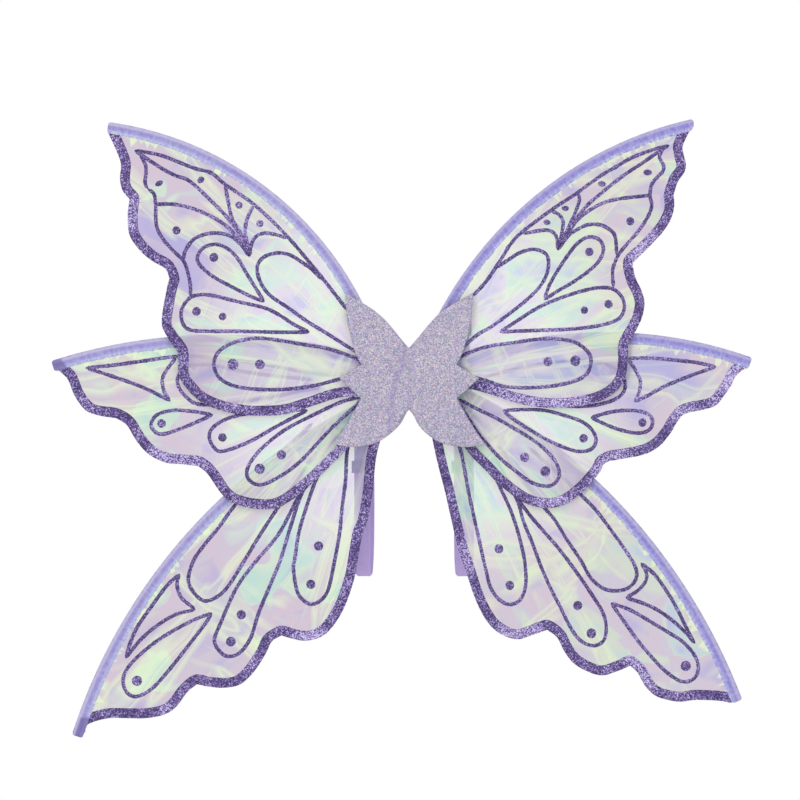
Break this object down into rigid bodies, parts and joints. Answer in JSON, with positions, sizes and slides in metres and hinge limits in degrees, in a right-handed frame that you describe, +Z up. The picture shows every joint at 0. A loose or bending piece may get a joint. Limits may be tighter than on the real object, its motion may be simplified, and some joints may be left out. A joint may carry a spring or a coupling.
{
  "type": "costume fairy wings",
  "caption": "Costume fairy wings: iridescent film panels on bowed spars with glitter hems, fanned out from a folding central hub with elastic arm loops.",
  "frame": {"origin": "middle of the back cushion's face, which rests against the wearer", "axes": "+Z up, +X to the right as seen from the glitter side, +Y towards the wearer"},
  "size_m": [0.81, 0.1305, 0.7067],
  "materials": {
    "film": "clear iridescent film with pastel shimmer",
    "glitter_hem": "dark purple glitter",
    "sleeve": "satin",
    "rod": "glass-fibre rod",
    "cap": "satin",
    "glitter_pad": "fine multicolour glitter sheet",
    "moulding": "moulded nylon",
    "nylon": "natural nylon",
    "steel": "plated",
    "board": "stiff sheet",
    "cushion": "felt",
    "elastic": "woven elastic",
    "patch": "felt",
    "buckle": "moulded"
  },
  "bodies": {
    "spine": {"spine": "moulding", "hinge_pins": "steel", "back_board": "board", "board_screws": "steel", "back_cushion": "cushion", "strap_left": "elastic", "strap_right": "elastic", "anchor_patches": "patch", "anchor_rivets": "steel"},
    "adjuster_left": {"adjuster_left": "buckle"},
    "adjuster_right": {"adjuster_right": "buckle"},
    "half_left": {"plate_left": "moulding", "cover_left": "moulding", "cover_screws_left": "steel", "fan_rivet_left": "steel", "washers_left": "nylon", "pad_left": "glitter_pad"},
    "wing_upper_left": {"socket_upper_left": "moulding", "spar_upper_left": "rod", "sleeve_upper_left": "sleeve", "tip_cap_upper_left": "cap", "film_upper_left": "film", "hem_upper_left": "glitter_hem"},
    "wing_middle_left": {"socket_middle_left": "moulding", "spar_middle_left": "rod", "sleeve_middle_left": "sleeve", "tip_cap_middle_left": "cap", "film_middle_left": "film", "hem_middle_left": "glitter_hem"},
    "wing_lower_left": {"socket_lower_left": "moulding", "spar_lower_left": "rod", "sleeve_lower_left": "sleeve", "tip_cap_lower_left": "cap", "film_lower_left": "film", "hem_lower_left": "glitter_hem"},
    "half_right": {"plate_right": "moulding", "cover_right": "moulding", "cover_screws_right": "steel", "fan_rivet_right": "steel", "washers_right": "nylon", "pad_right": "glitter_pad"},
    "wing_upper_right": {"socket_upper_right": "moulding", "spar_upper_right": "rod", "sleeve_upper_right": "sleeve", "tip_cap_upper_right": "cap", "film_upper_right": "film", "hem_upper_right": "glitter_hem"},
    "wing_middle_right": {"socket_middle_right": "moulding", "spar_middle_right": "rod", "sleeve_middle_right": "sleeve", "tip_cap_middle_right": "cap", "film_middle_right": "film", "hem_middle_right": "glitter_hem"},
    "wing_lower_right": {"socket_lower_right": "moulding", "spar_lower_right": "rod", "sleeve_lower_right": "sleeve", "tip_cap_lower_right": "cap", "film_lower_right": "film", "hem_lower_right": "glitter_hem"}
  },
  "joints": [
    {"name": "fold_left", "type": "hinge", "parent": "spine", "child": "half_left", "pos_m": [-0.007, -0.033, 0], "axis": [0, 0, 1], "range_deg": [-10, 70]},
    {"name": "fan_upper_left", "type": "hinge", "parent": "half_left", "child": "wing_upper_left", "pos_m": [-0.02571, -0.0363, 0.004], "axis": [-0.1736, 0.9848, 0], "range_deg": [-35, 8]},
    {"name": "fan_middle_left", "type": "hinge", "parent": "half_left", "child": "wing_middle_left", "pos_m": [-0.02571, -0.0363, 0.004], "axis": [-0.1736, 0.9848, 0], "range_deg": [-12, 12]},
    {"name": "fan_lower_left", "type": "hinge", "parent": "half_left", "child": "wing_lower_left", "pos_m": [-0.02571, -0.0363, 0.004], "axis": [-0.1736, 0.9848, 0], "range_deg": [-5, 30]},
    {"name": "adjuster_slide_left", "type": "slide", "parent": "spine", "child": "adjuster_left", "axis": [0, 0, 1], "range_m": [-0.05, 0.01]},
    {"name": "fold_right", "type": "hinge", "parent": "spine", "child": "half_right", "pos_m": [0.007, -0.033, 0], "axis": [0, 0, -1], "range_deg": [-10, 70]},
    {"name": "fan_upper_right", "type": "hinge", "parent": "half_right", "child": "wing_upper_right", "pos_m": [0.02571, -0.0363, 0.004], "axis": [-0.1736, -0.9848, 0], "range_deg": [-35, 8]},
    {"name": "fan_middle_right", "type": "hinge", "parent": "half_right", "child": "wing_middle_right", "pos_m": [0.02571, -0.0363, 0.004], "axis": [-0.1736, -0.9848, 0], "range_deg": [-12, 12]},
    {"name": "fan_lower_right", "type": "hinge", "parent": "half_right", "child": "wing_lower_right", "pos_m": [0.02571, -0.0363, 0.004], "axis": [-0.1736, -0.9848, 0], "range_deg": [-5, 30]},
    {"name": "adjuster_slide_right", "type": "slide", "parent": "spine", "child": "adjuster_right", "axis": [0, 0, 1], "range_m": [-0.05, 0.01]}
  ]
}
